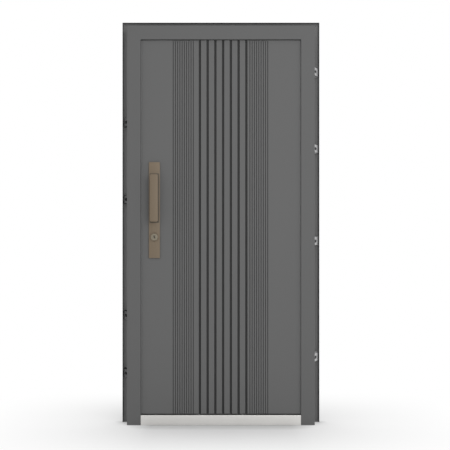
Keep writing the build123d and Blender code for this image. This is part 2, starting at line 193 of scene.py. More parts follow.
def paint_flange_light(material, colour, side_edge, top_edge, flange_back, corner_share):
    """Paints the flange beyond the front face lighter, as painted light against its shade, eased
    near the top corner by the corner share.
    """
    tree = material.node_tree
    paint = tree.nodes["Principled BSDF"].inputs["Base Color"]
    place = tree.nodes["Texture Coordinate"].outputs["Object"]
    split = add_node(tree, "ShaderNodeSeparateXYZ", {}, {"Vector": place})
    across = add_node(tree, "ShaderNodeMath", {}, {0: split.outputs["X"]}, operation="ABSOLUTE")
    beside = add_node(tree, "ShaderNodeMath", {1: side_edge}, {0: across.outputs[0]},
                      operation="GREATER_THAN")
    over = add_node(tree, "ShaderNodeMath", {1: top_edge}, {0: split.outputs["Z"]},
                    operation="GREATER_THAN")
    beyond = add_node(tree, "ShaderNodeMath", {}, {0: beside.outputs[0], 1: over.outputs[0]},
                      operation="MAXIMUM")
    before = add_node(tree, "ShaderNodeMath", {1: flange_back}, {0: split.outputs["Y"]},
                      operation="LESS_THAN")
    lifted = add_node(tree, "ShaderNodeMath", {}, {0: beyond.outputs[0], 1: before.outputs[0]},
                      operation="MULTIPLY")
    top_fade = add_node(tree, "ShaderNodeMapRange", {
        "From Min": top_edge - corner_fade_start, "From Max": top_edge - corner_fade_end,
        "To Min": 1.0, "To Max": corner_share,
    }, {"Value": split.outputs["Z"]})
    amount = add_node(tree, "ShaderNodeMath", {},
                      {0: lifted.outputs[0], 1: top_fade.outputs["Result"]}, operation="MULTIPLY")
    mix = add_node(tree, "ShaderNodeMix", {7: (*colour, 1.0)},
                   {"Factor": amount.outputs[0], 6: paint.links[0].from_socket}, data_type="RGBA")
    tree.links.new(mix.outputs[2], paint)


frame_grey = (0.104, 0.1045, 0.1045)
# painted light: each level lifts a rear flange out of its shade, most on the lock jamb, in the
# lamp's shadow; the corner share eases it near the top
flange_light_level = {"lock_jamb": 0.215, "hinge_jamb": 0.148, "head_rail": 0.118}
corner_light_share = {"lock_jamb": 0.5, "hinge_jamb": 1.0, "head_rail": 1.0}
frame_low, frame_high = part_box("head_rail")
flange_reach = 0.030
skin = 0.0005
for name, level in flange_light_level.items():
    frame_paint = powder_coated(name + "_paint", frame_grey)
    paint_flange_light(frame_paint, (level, level, level), frame_high.x - flange_reach + skin,
                 frame_high.z - flange_reach + skin, frame_high.y - 3 * skin,
                 corner_light_share[name])
    coat_nodes([name], frame_paint)


# The foam tape on the frame's rear lip
# It is a black closed-cell strip, stuck along the lip's edge before fitting, and it beds against
# the plaster at both sides and over the head. Its black also stands in as painted shade along the
# frame's outer edge.

def bare():
    """Leaves edit mode and deselects everything."""
    if bpy.context.mode != "OBJECT":
        bpy.ops.object.mode_set(mode="OBJECT")
    bpy.ops.object.select_all(action="DESELECT")


def only(piece):
    """Makes one piece the active and only selected one."""
    bare()
    piece.select_set(True)
    bpy.context.view_layer.objects.active = piece


def settle(name):
    """Names the new primitive and moves its place into its mesh."""
    piece = bpy.context.object
    piece.name = name
    bpy.ops.object.transform_apply(location=True, rotation=True, scale=True)
    return piece


def start_block(name, low, high):
    """A block between its lowest and its highest corner."""
    bare()
    middle = (Vector(low) + Vector(high)) / 2
    size = Vector(high) - Vector(low)
    bpy.ops.mesh.primitive_cube_add(size=1.0, location=middle, scale=size)
    return settle(name)


smooth_below = math.radians(35.0)


def round_edges(piece, width, steps=3, angle=50.0):
    """Rounds the edges that are sharper than the angle, and smooths the shading."""
    only(piece)
    rounding = piece.modifiers.new("rounding", "BEVEL")
    rounding.width = width
    rounding.segments = steps
    rounding.limit_method = "ANGLE"
    rounding.angle_limit = math.radians(angle)
    bpy.ops.object.modifier_apply(modifier=rounding.name)
    bpy.ops.object.shade_smooth_by_angle(angle=smooth_below)
    return piece


def join(name, pieces):
    """Makes one piece of several."""
    bare()
    for piece in pieces:
        piece.select_set(True)
    bpy.context.view_layer.objects.active = pieces[0]
    bpy.ops.object.join()
    pieces[0].name = name
    return pieces[0]


def fit(piece, material, body, replaced=()):
    """Gives a finished piece its material and fixes it to its body."""
    piece.data.materials.clear()
    piece.data.materials.append(material)
    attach(piece, body)
    if replaced:
        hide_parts(*replaced)


def rubber(name, colour, bloom=2.2):
    """A dull rubber or foam with a little bloom on it."""
    material, tree, shader, place = new_material(name)
    spots = add_node(tree, "ShaderNodeTexNoise", {"Scale": 60.0, "Detail": 5.0}, {"Vector": place})
    mix = add_node(tree, "ShaderNodeMix", {}, {"Factor": spots.outputs["Fac"]}, data_type="RGBA")
    mix.inputs[6].default_value = (*colour, 1.0)
    mix.inputs[7].default_value = (*(bloom * channel for channel in colour), 1.0)
    tree.links.new(mix.outputs[2], shader.inputs["Base Color"])
    soft = softened_normal(tree, radius=0.0004, height=spots.outputs["Fac"], depth=0.00005)
    tree.links.new(soft, shader.inputs["Normal"])
    shader.inputs["Roughness"].default_value = 0.72
    return material


tape_width = 0.0036
tape_setback = 0.0142
tape_depth = 0.008
tape_foot = 0.001
lip_skin = 0.0002
tape_front = frame_high.y - tape_setback
tape_back = tape_front + tape_depth
# painted shade: the black foam gives the dark line of shade round the frame's outer edge
tape_foam_shade = rubber("tape_foam_shade", (0.022, 0.022, 0.023))
tape_runs = []
for side in (-1, 1):
    ends = sorted((side * (frame_high.x - lip_skin), side * (frame_high.x - tape_width)))
    tape_runs.append(start_block(
        "tape_run", (ends[0], tape_front, tape_foot),
        (ends[1], tape_back, frame_high.z - lip_skin),
    ))
tape_runs.append(start_block(
    "tape_run",
    (tape_width - frame_high.x, tape_front, frame_high.z - tape_width),
    (frame_high.x - tape_width, tape_back, frame_high.z - lip_skin),
))
plaster_tape = round_edges(join("plaster_tape", tape_runs), width=0.0008, steps=2)
fit(plaster_tape, tape_foam_shade, "frame")


# The slotted wall straps
# They are 3 mm strips, punched, bent, zinc plated and welded into the open side of the jambs.
# Those of the lock side, and their welds, are a dark copy of the zinc, painted shade for the side
# away from the lamp.

grain_group, given, result = start_group(
    "brushed_grain",
    {"Place": "Vector", "Colour": "Color", "Streak Scale": "Float", "Streak Depth": "Float",
     "Roughness": "Float"},
    {"Colour": "Color", "Roughness": "Float", "Height": "Float"},
)
stretch = add_node(grain_group, "ShaderNodeVectorMath", {1: (1.0, 1.0, 0.02)},
                   {0: given["Place"]}, operation="MULTIPLY")
streaks = add_node(grain_group, "ShaderNodeTexNoise", {"Detail": 4.0, "Roughness": 0.6},
                   {"Vector": stretch.outputs[0], "Scale": given["Streak Scale"]})
streaked = shaded_colour(grain_group, given["Colour"], streaks.outputs["Fac"],
                         given["Streak Depth"])
uneven = add_node(grain_group, "ShaderNodeMath", {1: 0.15},
                  {0: streaks.outputs["Fac"], 2: given["Roughness"]}, operation="MULTIPLY_ADD")
grain_group.links.new(streaked, result["Colour"])
grain_group.links.new(uneven.outputs[0], result["Roughness"])
grain_group.links.new(streaks.outputs["Fac"], result["Height"])


def brushed(name, colour, roughness, metallic=1.0, turn=(0.0, 0.0, 0.0), edge=0.0004,
            streak_scale=900.0, streak_depth=0.18, rub=1.5, rub_width=0.0010):
    """A metal whose grain runs upright before the turn, and whose edges are rubbed bright."""
    material, tree, shader, place = new_material(name)
    mapping = add_node(tree, "ShaderNodeMapping", {"Rotation": turn}, {"Vector": place})
    grain = placed_group(tree, grain_group, {
        "Colour": (*colour, 1.0), "Streak Scale": streak_scale, "Streak Depth": streak_depth,
        "Roughness": roughness,
    }, mapping.outputs["Vector"])
    worn = worn_edges(tree, place, grain.outputs["Colour"], colour, rub, rub_width, amount=0.6)
    tree.links.new(worn, shader.inputs["Base Color"])
    tree.links.new(grain.outputs["Roughness"], shader.inputs["Roughness"])
    tree.links.new(softened_normal(tree, edge, grain.outputs["Height"], depth=0.00003),
                   shader.inputs["Normal"])
    shader.inputs["Metallic"].default_value = metallic
    return material


grain_along_x = (0.0, math.pi / 2, 0.0)
bright_zinc = brushed("bright_zinc", (0.46, 0.46, 0.465), roughness=0.42, streak_depth=0.3)
# painted shade: a dark copy of the zinc for the lock side's straps and welds
dull_zinc = brushed("dull_zinc", (0.026, 0.026, 0.027), roughness=0.55, metallic=0.3,
                    streak_depth=0.3)
hinge_straps = [f"hinge_strap_{number}" for number in range(1, 5)]
lock_straps = [f"lock_strap_{number}" for number in range(1, 5)]
coat_nodes(hinge_straps, bright_zinc)
coat_nodes(lock_straps, dull_zinc)

drop_radius = 0.0022
drop_pitch = 0.0024
drops_in_bead = 7
weld_inset = 0.010
weld_gap = 0.0006


def weld_bead(start):
    """A short bead laid along X, as a row of drops that run into each other."""
    drops = []
    for count in range(drops_in_bead):
        bare()
        spot = (start.x + count * drop_pitch, start.y, start.z)
        bpy.ops.mesh.primitive_ico_sphere_add(subdivisions=2, radius=drop_radius, location=spot)
        bpy.ops.object.shade_smooth()
        drops.append(settle("weld_drop"))
    return drops


def strap_welds(name, straps, side, material):
    """Two beads on each strap's foot, above and below it."""
    drops = []
    for strap in straps:
        low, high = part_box(strap)
        inner = min(abs(low.x), abs(high.x)) + weld_inset
        first = side * inner if side > 0 else side * (inner + (drops_in_bead - 1) * drop_pitch)
        for height in (low.z - weld_gap, high.z + weld_gap):
            drops += weld_bead(Vector((first, high.y - drop_radius / 2, height)))
    fit(join(name, drops), material, "frame")


strap_welds("hinge_strap_welds", hinge_straps, 1, bright_zinc)
strap_welds("lock_strap_welds", lock_straps, -1, dull_zinc)


# The threshold
# It is folded from 2 mm stainless sheet, brushed along its length. Its front stands flush
# with the frame's, and four low socket screws hold it down through its top.

def start_rod(name, start, end, radius, sides=32):
    """A round bar between the middles of its ends."""
    bare()
    along = Vector(end) - Vector(start)
    bpy.ops.mesh.primitive_cylinder_add(
        vertices=sides, radius=radius, depth=along.length,
        location=(Vector(start) + Vector(end)) / 2,
        rotation=along.to_track_quat("Z", "Y").to_euler(),
    )
    return settle(name)


def cut(piece, tool):
    """Cuts the tool's shape out of the piece, and removes the tool."""
    only(piece)
    cutting = piece.modifiers.new("cutting", "BOOLEAN")
    cutting.operation = "DIFFERENCE"
    cutting.solver = "EXACT"
    cutting.object = tool
    bpy.ops.object.modifier_apply(modifier=cutting.name)
    bpy.data.objects.remove(tool)
    return piece


def hex_screw(spot, outward, radius, rise):
    """A screw head with a hexagonal socket, standing on a face."""
    outward = Vector(outward)
    spot = Vector(spot)
    sunk = 0.4 * rise
    socket_floor = 0.35 * rise
    socket_radius = 0.52 * radius
    head = start_rod("screw_head", spot - sunk * outward, spot + rise * outward, radius,
                     sides=24)
    socket = start_rod("socket", spot + socket_floor * outward, spot + 2 * rise * outward,
                       socket_radius, sides=6)
    return round_edges(cut(head, socket), width=0.12 * radius, steps=2, angle=40.0)


stainless = brushed("stainless_sheet", (0.675, 0.665, 0.645), roughness=0.34,
                    turn=grain_along_x, edge=0.0022, streak_scale=700.0, streak_depth=0.12)
coat_nodes(["threshold"], stainless)
threshold_low, threshold_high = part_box("threshold")
threshold_setback = 0.012
threshold_screw_radius = 0.004
threshold_screw_rise = 0.0008
threshold_screw_places = (-0.33, -0.11, 0.11, 0.33)
threshold_screws = [
    hex_screw((x, threshold_low.y + threshold_setback, threshold_high.z), (0, 0, 1),
              threshold_screw_radius, threshold_screw_rise)
    for x in threshold_screw_places
]
fit(join("threshold_screws", threshold_screws), stainless, "frame")


# The rubber seals
# They are extruded strips with a bulb on a flat foot. They are pushed on behind the frame's
# stop and on the threshold, and the bulb lies close to the shut leaf.

seal_rubber = rubber("seal_rubber", (0.012, 0.012, 0.013))
foot_depth = 0.0016
bulb_overlap = 0.0006
bulb_sides = 20


def bulb_seal(node, upright):
    """A seal in the place of a packed one, upright or level."""
    low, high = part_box(node)
    foot = start_block("seal_foot", low, (high.x, low.y + foot_depth, high.z))
    bulb_half = (high.y - low.y - foot_depth) / 2 + bulb_overlap
    centre_y = high.y - bulb_half
    if upright:
        centre_x = (low.x + high.x) / 2
        ends = (centre_x, centre_y, low.z), (centre_x, centre_y, high.z)
    else:
        centre_z = (low.z + high.z) / 2
        ends = (low.x, centre_y, centre_z), (high.x, centre_y, centre_z)
    bulb = start_rod("seal_bulb", *ends, bulb_half, bulb_sides)
    only(bulb)
    bpy.ops.object.shade_smooth_by_angle(angle=smooth_below)
    seal = join(node + "_strip", [round_edges(foot, width=0.0004, steps=2), bulb])
    fit(seal, seal_rubber, "frame", [node])


bulb_seal("lock_side_seal", upright=True)
bulb_seal("hinge_side_seal", upright=True)
bulb_seal("head_seal", upright=False)
bulb_seal("threshold_seal", upright=False)


# The strike plate
# It is a 3 mm zinc plated plate, welded behind the windows in the lock jamb. The bolts and
# the latch run into its holes.

strike_zinc = brushed("strike_zinc", (0.55, 0.55, 0.55), roughness=0.42)
coat_nodes(["strike_plate"], strike_zinc)


# The leaf's steel shell
# It is a tray folded from steel sheet, with a second sheet welded over its back. Both are
# powder coated like the frame.

leaf_grey = (0.100, 0.1005, 0.1005)
leaf_paint = powder_coated("leaf_paint", leaf_grey)
coat_nodes(["leaf_tray", "leaf_back_sheet"], leaf_paint)


# The grooved panels outdoors and indoors
# They are boards with the grooves milled in, painted in the frame's colour. Their groove floors
# are painted darker than the lands, as painted shade in the grooves.

def panel_paint(name, colour, face_y, shade_y, groove_colour):
    """Matte paint with painted shade, darker from the panel's face to the given depth."""
    material, tree, shader, place = new_material(name)
    coat = placed_group(tree, coat_group, {
        "Colour": (*colour, 1.0), "Peel Scale": 520.0, "Cloud Depth": 0.05, "Roughness": 0.52,
    }, place)
    split = add_node(tree, "ShaderNodeSeparateXYZ", {}, {"Vector": place})
    below = add_node(tree, "ShaderNodeMapRange", {"From Min": face_y, "From Max": shade_y},
                     {"Value": split.outputs["Y"]})
    mix = add_node(tree, "ShaderNodeMix", {}, {"Factor": below.outputs["Result"]},
                   data_type="RGBA")
    tree.links.new(coat.outputs["Colour"], mix.inputs[6])
    mix.inputs[7].default_value = (*groove_colour, 1.0)
    tree.links.new(mix.outputs[2], shader.inputs["Base Color"])
    tree.links.new(coat.outputs["Roughness"], shader.inputs["Roughness"])
    soft = softened_normal(tree, radius=0.0006, height=coat.outputs["Height"], depth=0.00006)
    tree.links.new(soft, shader.inputs["Normal"])
    shader.inputs["Specular IOR Level"].default_value = 0.3
    return material


panel_grey = (0.1095, 0.110, 0.110)
# painted shade: the colour of the groove floors
groove_shade_grey = (0.036, 0.0362, 0.0363)
face_skin = 0.0003
groove_shade_depth = 0.003
cladding_low, cladding_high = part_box("cladding_panel")
lining_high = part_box("lining_panel")[1]
cladding_paint = panel_paint("cladding_paint", panel_grey, cladding_low.y + face_skin,
                             cladding_low.y + groove_shade_depth, groove_shade_grey)
lining_paint = panel_paint("lining_paint", panel_grey, lining_high.y - face_skin,
                           lining_high.y - groove_shade_depth, groove_shade_grey)
coat_nodes(["cladding_panel"], cladding_paint)
coat_nodes(["lining_panel"], lining_paint)


# The gaskets round the cladding
# They are grey soft strips, glued on the panel's edges. They narrow the gap to the frame
# at both sides and at the head, where they stop at each wide groove to let water past
# and are lower over the fine ones.

gasket_lock = 0.0054
gasket_hinge = 0.0059
gasket_head = 0.0034
gasket_fine = 0.0025
gasket_recess = 0.0015
gasket_lap = 0.0002
groove_count = 7
groove_first = -0.1062
groove_pitch = 0.0392
groove_half = 0.0057
fine_lock = (-0.2433, -0.1380)
fine_hinge = (0.1453, 0.2393)
leaf_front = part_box("leaf_tray")[0].y
gasket_grey = rubber("gasket_grey", (0.165, 0.166, 0.1665), bloom=1.15)
gasket_front = cladding_low.y + gasket_recess
gasket_runs = [
    start_block("gasket_run",
                (cladding_low.x - gasket_lock, gasket_front, cladding_low.z),
                (cladding_low.x + gasket_lap, leaf_front, cladding_high.z + gasket_head)),
    start_block("gasket_run",
                (cladding_high.x - gasket_lap, gasket_front, cladding_low.z),
                (cladding_high.x + gasket_hinge, leaf_front, cladding_high.z + gasket_head)),
]
grooves = [groove_first + count * groove_pitch for count in range(groove_count)]
head_runs = [
    (before + groove_half, after - groove_half, gasket_head)
    for before, after in zip(grooves[:-1], grooves[1:])
]
head_runs += [
    (cladding_low.x, fine_lock[0], gasket_head),
    (*fine_lock, gasket_fine),
    (fine_lock[1], grooves[0] - groove_half, gasket_head),
    (grooves[-1] + groove_half, fine_hinge[0], gasket_head),
    (*fine_hinge, gasket_fine),
    (fine_hinge[1], cladding_high.x, gasket_head),
]
for start, end, height in head_runs:
    gasket_runs.append(start_block(
        "gasket_run", (start, gasket_front, cladding_high.z - gasket_lap),
        (end, leaf_front, cladding_high.z + height),
    ))
cladding_gasket = round_edges(join("cladding_gasket", gasket_runs), width=0.0008, steps=2)
fit(cladding_gasket, gasket_grey, "leaf")


# The lock in the leaf's edge
# Its stainless faceplate is screwed flush into the edge. The bolts and the latch are
# ground steel, and so are the fixed pins on the other edge.

faceplate_steel = brushed("faceplate_steel", (0.55, 0.55, 0.54), roughness=0.3)
ground_steel = brushed("ground_steel", (0.5, 0.5, 0.49), roughness=0.25, turn=grain_along_x)
coat_nodes(["lock_faceplate"], faceplate_steel)
coat_nodes(["lock_bolts", "latch_bolt", "security_pins"], ground_steel)
faceplate_low, faceplate_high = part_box("lock_faceplate")
faceplate_middle = (faceplate_low.y + faceplate_high.y) / 2
faceplate_screw_radius = 0.0038
faceplate_screw_rise = 0.0005
faceplate_screw_heights = (0.414, 0.560, 0.720, 0.945, 1.140, 1.300, 1.486)
faceplate_screws = [
    hex_screw((faceplate_low.x, faceplate_middle, z), (-1, 0, 0),
              faceplate_screw_radius, faceplate_screw_rise)
    for z in faceplate_screw_heights
]
fit(join("faceplate_screws", faceplate_screws), faceplate_steel, "leaf")


# The hinges
# Each is a pair of machined blocks with knuckles, painted like the frame. Three socket
# screws hold each half, and domed caps close the knuckles.

hinge_paint = powder_coated("hinge_paint", leaf_grey, roughness=0.42)
screw_zinc = brushed("screw_zinc", (0.5, 0.5, 0.5), roughness=0.35)
hinge_count = 3
knuckle_radius = 0.010
plate_start = 0.0105
frame_plate_depth = 0.006
leaf_plate_step = 0.010
# each place is across the plate from its start, then away from the knuckles' seam
frame_screw_places = ((0.0105, 0.010), (0.0275, 0.025), (0.0105, 0.040))
leaf_screw_places = ((0.009, 0.011), (0.025, 0.026), (0.009, 0.041))
hinge_screw_radius = 0.0045
hinge_screw_rise = 0.0022
cap_rise = 0.004
cap_sunk = 0.001
foot_radius = 0.0096
crown_radius = 0.0049
frame_screws = []
leaf_screws = []
hinge_caps = []
for number in range(1, hinge_count + 1):
    frame_half = f"hinge_frame_half_{number}"
    leaf_half = f"hinge_leaf_half_{number}"
    coat_nodes([frame_half, leaf_half], hinge_paint)
    low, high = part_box(frame_half)
    axis_x = low.x + knuckle_radius
    axis_y = high.y - knuckle_radius
    plate_face = low.y + frame_plate_depth
    seam = (low.z + high.z) / 2
    for across, drop in frame_screw_places:
        frame_screws.append(hex_screw((axis_x + plate_start + across, plate_face, seam - drop),
                                      (0, 1, 0), hinge_screw_radius, hinge_screw_rise))
    leaf_low, leaf_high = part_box(leaf_half)
    leaf_face = leaf_high.y - leaf_plate_step
    for across, rise in leaf_screw_places:
        leaf_screws.append(hex_screw((leaf_low.x + across, leaf_face, seam + rise),
                                     (0, 1, 0), hinge_screw_radius, hinge_screw_rise))
    foot = start_rod("hinge_cap", (axis_x, axis_y, low.z - cap_rise), (axis_x, axis_y, low.z),
                     foot_radius)
    crown = start_rod("hinge_cap", (axis_x, axis_y, high.z - cap_sunk),
                      (axis_x, axis_y, high.z + cap_rise), crown_radius)
    hinge_caps += [round_edges(foot, width=0.0022), round_edges(crown, width=0.0018)]
fit(join("hinge_frame_screws", frame_screws), screw_zinc, "frame")
fit(join("hinge_leaf_screws", leaf_screws), screw_zinc, "leaf")
fit(join("hinge_caps", hinge_caps), hinge_paint, "frame")


# The pull plate and the pull
# Both are solid brass, brushed upright and toned to a brown bronze. The flat pull stands
# on two round posts, and its corners and edges are rounded. The plate is painted darker under the
# pull and in a thin band round it, as painted shade.

bronze_brown = (0.150, 0.113, 0.074)


def toned_brass(name):
    """Brass toned to a brown bronze, lighter at the edges, partly rubbed back and partly a painted
    highlight.
    """
    return brushed(name, bronze_brown, roughness=0.42, metallic=0.2, streak_scale=600.0,
                   streak_depth=0.16, rub=2.0, rub_width=0.0024)


bronze = toned_brass("bronze")


def within(tree, socket, low, high, ease):
    """One between two levels, and zero past them, with an eased step at each."""
    rising = add_node(tree, "ShaderNodeMapRange", {"From Min": low - ease, "From Max": low},
                      {"Value": socket})
    falling = add_node(tree, "ShaderNodeMapRange", {"From Min": high + ease, "From Max": high},
                       {"Value": socket})
    both = add_node(tree, "ShaderNodeMath", {}, {0: rising.outputs[0], 1: falling.outputs[0]},
                    operation="MULTIPLY")
    return both.outputs[0]


def darken_within(material, colour, low, high, ease):
    """Gives a material another colour where it lies between two corners."""
    tree = material.node_tree
    paint = tree.nodes["Principled BSDF"].inputs["Base Color"]
    place = tree.nodes["Texture Coordinate"].outputs["Object"]
    split = add_node(tree, "ShaderNodeSeparateXYZ", {}, {"Vector": place})
    share = within(tree, split.outputs["X"], low.x, high.x, ease)
    for axis, start, end in (("Y", low.y, high.y), ("Z", low.z, high.z)):
        step = within(tree, split.outputs[axis], start, end, ease)
        share = add_node(tree, "ShaderNodeMath", {}, {0: share, 1: step},
                         operation="MULTIPLY").outputs[0]
    mix = add_node(tree, "ShaderNodeMix", {7: (*colour, 1.0)},
                   {"Factor": share, 6: paint.links[0].from_socket}, data_type="RGBA")
    tree.links.new(mix.outputs[2], paint)


def select_edges(piece, wanted):
    """Opens a piece for editing, with the wanted edges selected."""
    only(piece)
    bpy.context.tool_settings.mesh_select_mode = (False, True, False)
    bpy.ops.object.mode_set(mode="EDIT")
    bpy.ops.mesh.select_all(action="DESELECT")
    bpy.ops.object.mode_set(mode="OBJECT")
    for edge in piece.data.edges:
        start, end = (piece.data.vertices[index].co for index in edge.vertices)
        edge.select = wanted(start, end)
    bpy.ops.object.mode_set(mode="EDIT")


def crosses(start, end):
    """Whether an edge runs from the front of a piece to its back."""
    along = end - start
    return abs(along.y) > 0.9 * along.length


def round_corners(piece, radius, steps=8):
    """Rounds the corners that a flat piece shows from the front."""
    select_edges(piece, crosses)
    bpy.ops.mesh.bevel(offset=radius, segments=steps, affect="EDGES")
    bpy.ops.object.mode_set(mode="OBJECT")
    return piece


grip_low, grip_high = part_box("pull_grip")
plate_bronze = toned_brass("plate_bronze")
# painted shade on the plate under the pull and in a band round it, wider above and below
shade_side = Vector((0.0020, 0.0, 0.0040))
shade_brown = (0.060, 0.047, 0.033)
darken_within(plate_bronze, shade_brown, grip_low - shade_side, grip_high + shade_side,
              ease=0.0018)
plate_low, plate_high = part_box("pull_plate")
backplate = start_block("pull_backplate", plate_low, plate_high)
backplate = round_edges(round_corners(backplate, radius=0.002, steps=4), width=0.001)
fit(backplate, plate_bronze, "leaf", ["pull_plate"])

bar_depth = 0.012
post_radius = 0.011
post_inset = 0.030
post_sunk = 0.001
post_collar_depth = 0.0025
post_collar_rim = 0.003
grip_middle = (grip_low.x + grip_high.x) / 2
bar_back = grip_low.y + bar_depth
bar = start_block("pull_bar", grip_low, (grip_high.x, bar_back, grip_high.z))
pull_parts = [round_edges(round_corners(bar, radius=0.008), width=0.0022, angle=60.0)]
for height in (grip_low.z + post_inset, grip_high.z - post_inset):
    post = start_rod("pull_post", (grip_middle, bar_back - post_sunk, height),
                     (grip_middle, grip_high.y, height), post_radius)
    collar = start_rod("post_collar", (grip_middle, grip_high.y - post_collar_depth, height),
                       (grip_middle, grip_high.y, height), post_radius + post_collar_rim)
    pull_parts += [round_edges(post, width=0.0004), round_edges(collar, width=0.0012)]
fit(join("pull_handle", pull_parts), bronze, "leaf", ["pull_grip"])


# The lock cylinder
# A turned ring guards a hard disc and the plug with its keyhole. The plug turns with the
# key, and the disc stands still.

cylinder_bronze = brushed("cylinder_bronze", (0.195, 0.172, 0.128), roughness=0.38,
                          metallic=0.4)
plug_bronze = brushed("plug_bronze", (0.180, 0.158, 0.118), roughness=0.38, metallic=0.4)
disc_bore = 0.00875
ring_play = 0.0002
bore_overrun = 0.002
keyhole_width = 0.0046
keyhole_height = 0.0135
keyhole_rise = 0.0010
keyhole_floor = 0.0010
keyhole_lean = math.radians(12.0)


def turned_ring(node, name, bore, edge):
    """A ring round the lock's axis in the place of a packed one."""
    low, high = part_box(node)
    x, z = (low.x + high.x) / 2, (low.z + high.z) / 2
    ring = start_rod(name, (x, high.y, z), (x, low.y, z), (high.x - low.x) / 2, sides=64)
    hole = start_rod("bore", (x, high.y + bore_overrun, z), (x, low.y - bore_overrun, z), bore,
                     sides=64)
    return round_edges(cut(ring, hole), width=edge, angle=60.0)


disc_low, disc_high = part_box("guard_disc")
ring_bore = (disc_high.x - disc_low.x) / 2 + ring_play
guard = turned_ring("cylinder_guard", "guard_ring", ring_bore, edge=0.0018)
fit(guard, bronze, "leaf", ["cylinder_guard"])
disc = turned_ring("guard_disc", "hard_disc", disc_bore, edge=0.0008)
fit(disc, cylinder_bronze, "leaf", ["guard_disc"])

plug_low, plug_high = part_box("cylinder_plug")
plug_x, plug_z = (plug_low.x + plug_high.x) / 2, (plug_low.z + plug_high.z) / 2
plug = start_rod("lock_plug", (plug_x, plug_high.y, plug_z), (plug_x, plug_low.y, plug_z),
                 (plug_high.x - plug_low.x) / 2, sides=48)
keyhole_depth = plug_high.y - plug_low.y - keyhole_floor
bare()
bpy.ops.mesh.primitive_cube_add(
    size=1.0, location=(plug_x, plug_low.y, plug_z + keyhole_rise),
    rotation=(0.0, -keyhole_lean, 0.0),
    scale=(keyhole_width, 2 * keyhole_depth, keyhole_height),
)
plug = round_edges(cut(plug, settle("keyway")), width=0.0003, steps=2, angle=60.0)
# painted shade: the plug is near black behind its front lip, in and round the keyway
keyway_shade = (0.008, 0.007, 0.006)
unshaded_lip = Vector((0.0, 0.0009, 0.0))
darken_within(plug_bronze, keyway_shade, plug_low + unshaded_lip, plug_high, ease=0.0004)
fit(plug, plug_bronze, "plug", ["cylinder_plug"])


# The indoor plate, lever and thumb turn
# They are brushed stainless. The lever is a bent flat bar on a round collar, and the
# thumb turn has an oval wing on a rose.

inner_steel = brushed("inner_steel", (0.6, 0.59, 0.57), roughness=0.32)
inner_low, inner_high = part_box("inner_plate")
inner_plate = start_block("indoor_plate", inner_low, inner_high)
inner_plate = round_edges(round_corners(inner_plate, radius=0.008), width=0.0012)
fit(inner_plate, inner_steel, "leaf", ["inner_plate"])

bar_thickness = 0.008
bar_width = 0.020
bend_radius = 0.014
bar_corner = 0.0022
collar_depth = 0.005
lever_low, lever_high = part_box("inner_lever")
collar_radius = (lever_high.z - lever_low.z) / 2
lever_x = lever_low.x + collar_radius
lever_z = (lever_low.z + lever_high.z) / 2
bend_start = lever_high.y - bend_radius
bare()
bpy.ops.mesh.primitive_plane_add(
    size=1.0, location=(lever_x, lever_low.y, lever_z), rotation=(math.pi / 2, 0.0, 0.0),
)
bpy.context.object.scale = (bar_thickness, bar_width, 1.0)
lever_bar = settle("lever_bar")
bpy.ops.object.mode_set(mode="EDIT")
bpy.ops.mesh.bevel(offset=bar_corner, segments=4, affect="VERTICES")
bpy.ops.mesh.extrude_region_move(
    TRANSFORM_OT_translate={"value": (0.0, bend_start - lever_low.y, 0.0)}
)
bend_centre = (lever_x - bar_thickness / 2 + bend_radius, bend_start, lever_z)
bpy.ops.mesh.spin(steps=12, angle=math.pi / 2, center=bend_centre, axis=(0.0, 0.0, 1.0))
bpy.ops.mesh.extrude_region_move(
    TRANSFORM_OT_translate={"value": (lever_high.x - bend_centre[0], 0.0, 0.0)}
)
bpy.ops.mesh.select_all(action="SELECT")
bpy.ops.mesh.normals_make_consistent(inside=False)
bpy.ops.object.mode_set(mode="OBJECT")
collar = start_rod("lever_collar", (lever_x, lever_low.y, lever_z),
                   (lever_x, lever_low.y + collar_depth, lever_z), collar_radius, sides=48)
lever_bar = round_edges(lever_bar, width=0.0016, angle=60.0)
lever_parts = [lever_bar, round_edges(collar, width=0.0012)]
fit(join("indoor_lever", lever_parts), inner_steel, "leaf", ["inner_lever"])

rose_radius = 0.014
rose_depth = 0.006
wing_width = 0.010
wing_sunk = 0.001
turn_low, turn_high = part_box("thumb_turn")
turn_x = (turn_low.x + turn_high.x) / 2
turn_z = (turn_low.z + turn_high.z) / 2
rose_face = turn_low.y + rose_depth
rose = start_rod("turn_rose", (turn_x, turn_low.y, turn_z), (turn_x, rose_face, turn_z),
                 rose_radius, sides=48)
wing = start_block("turn_wing", (turn_x - wing_width / 2, rose_face - wing_sunk, turn_low.z),
                   (turn_x + wing_width / 2, turn_high.y, turn_high.z))
turn_parts = [round_edges(rose, width=0.0012), round_edges(wing, width=0.0034, steps=5)]
fit(join("indoor_turn", turn_parts), inner_steel, "leaf", ["thumb_turn"])


# The studio
# A pale floor and a white surround stand in for the room, with a soft lamp at the right.
# The floor is painted darker close to the door's feet, as a painted shadow, and fades to white
# away from them.

scene = bpy.context.scene
scene.view_settings.view_transform = "Standard"

world = bpy.data.worlds.new("studio")
scene.world = world
world.use_nodes = True
world_tree = world.node_tree
world_tree.nodes.clear()


def seen_ray(tree):
    """One for the rays that show the surround, and zero for those that light the object."""
    rays = tree.nodes.new("ShaderNodeLightPath").outputs
    seen = add_node(tree, "ShaderNodeMath", {},
                    {0: rays["Is Camera Ray"], 1: rays["Is Glossy Ray"]}, operation="MAXIMUM")
    shown = add_node(tree, "ShaderNodeMath", {},
                     {0: seen.outputs[0], 1: rays["Is Transmission Ray"]}, operation="MAXIMUM")
    return shown.outputs[0]


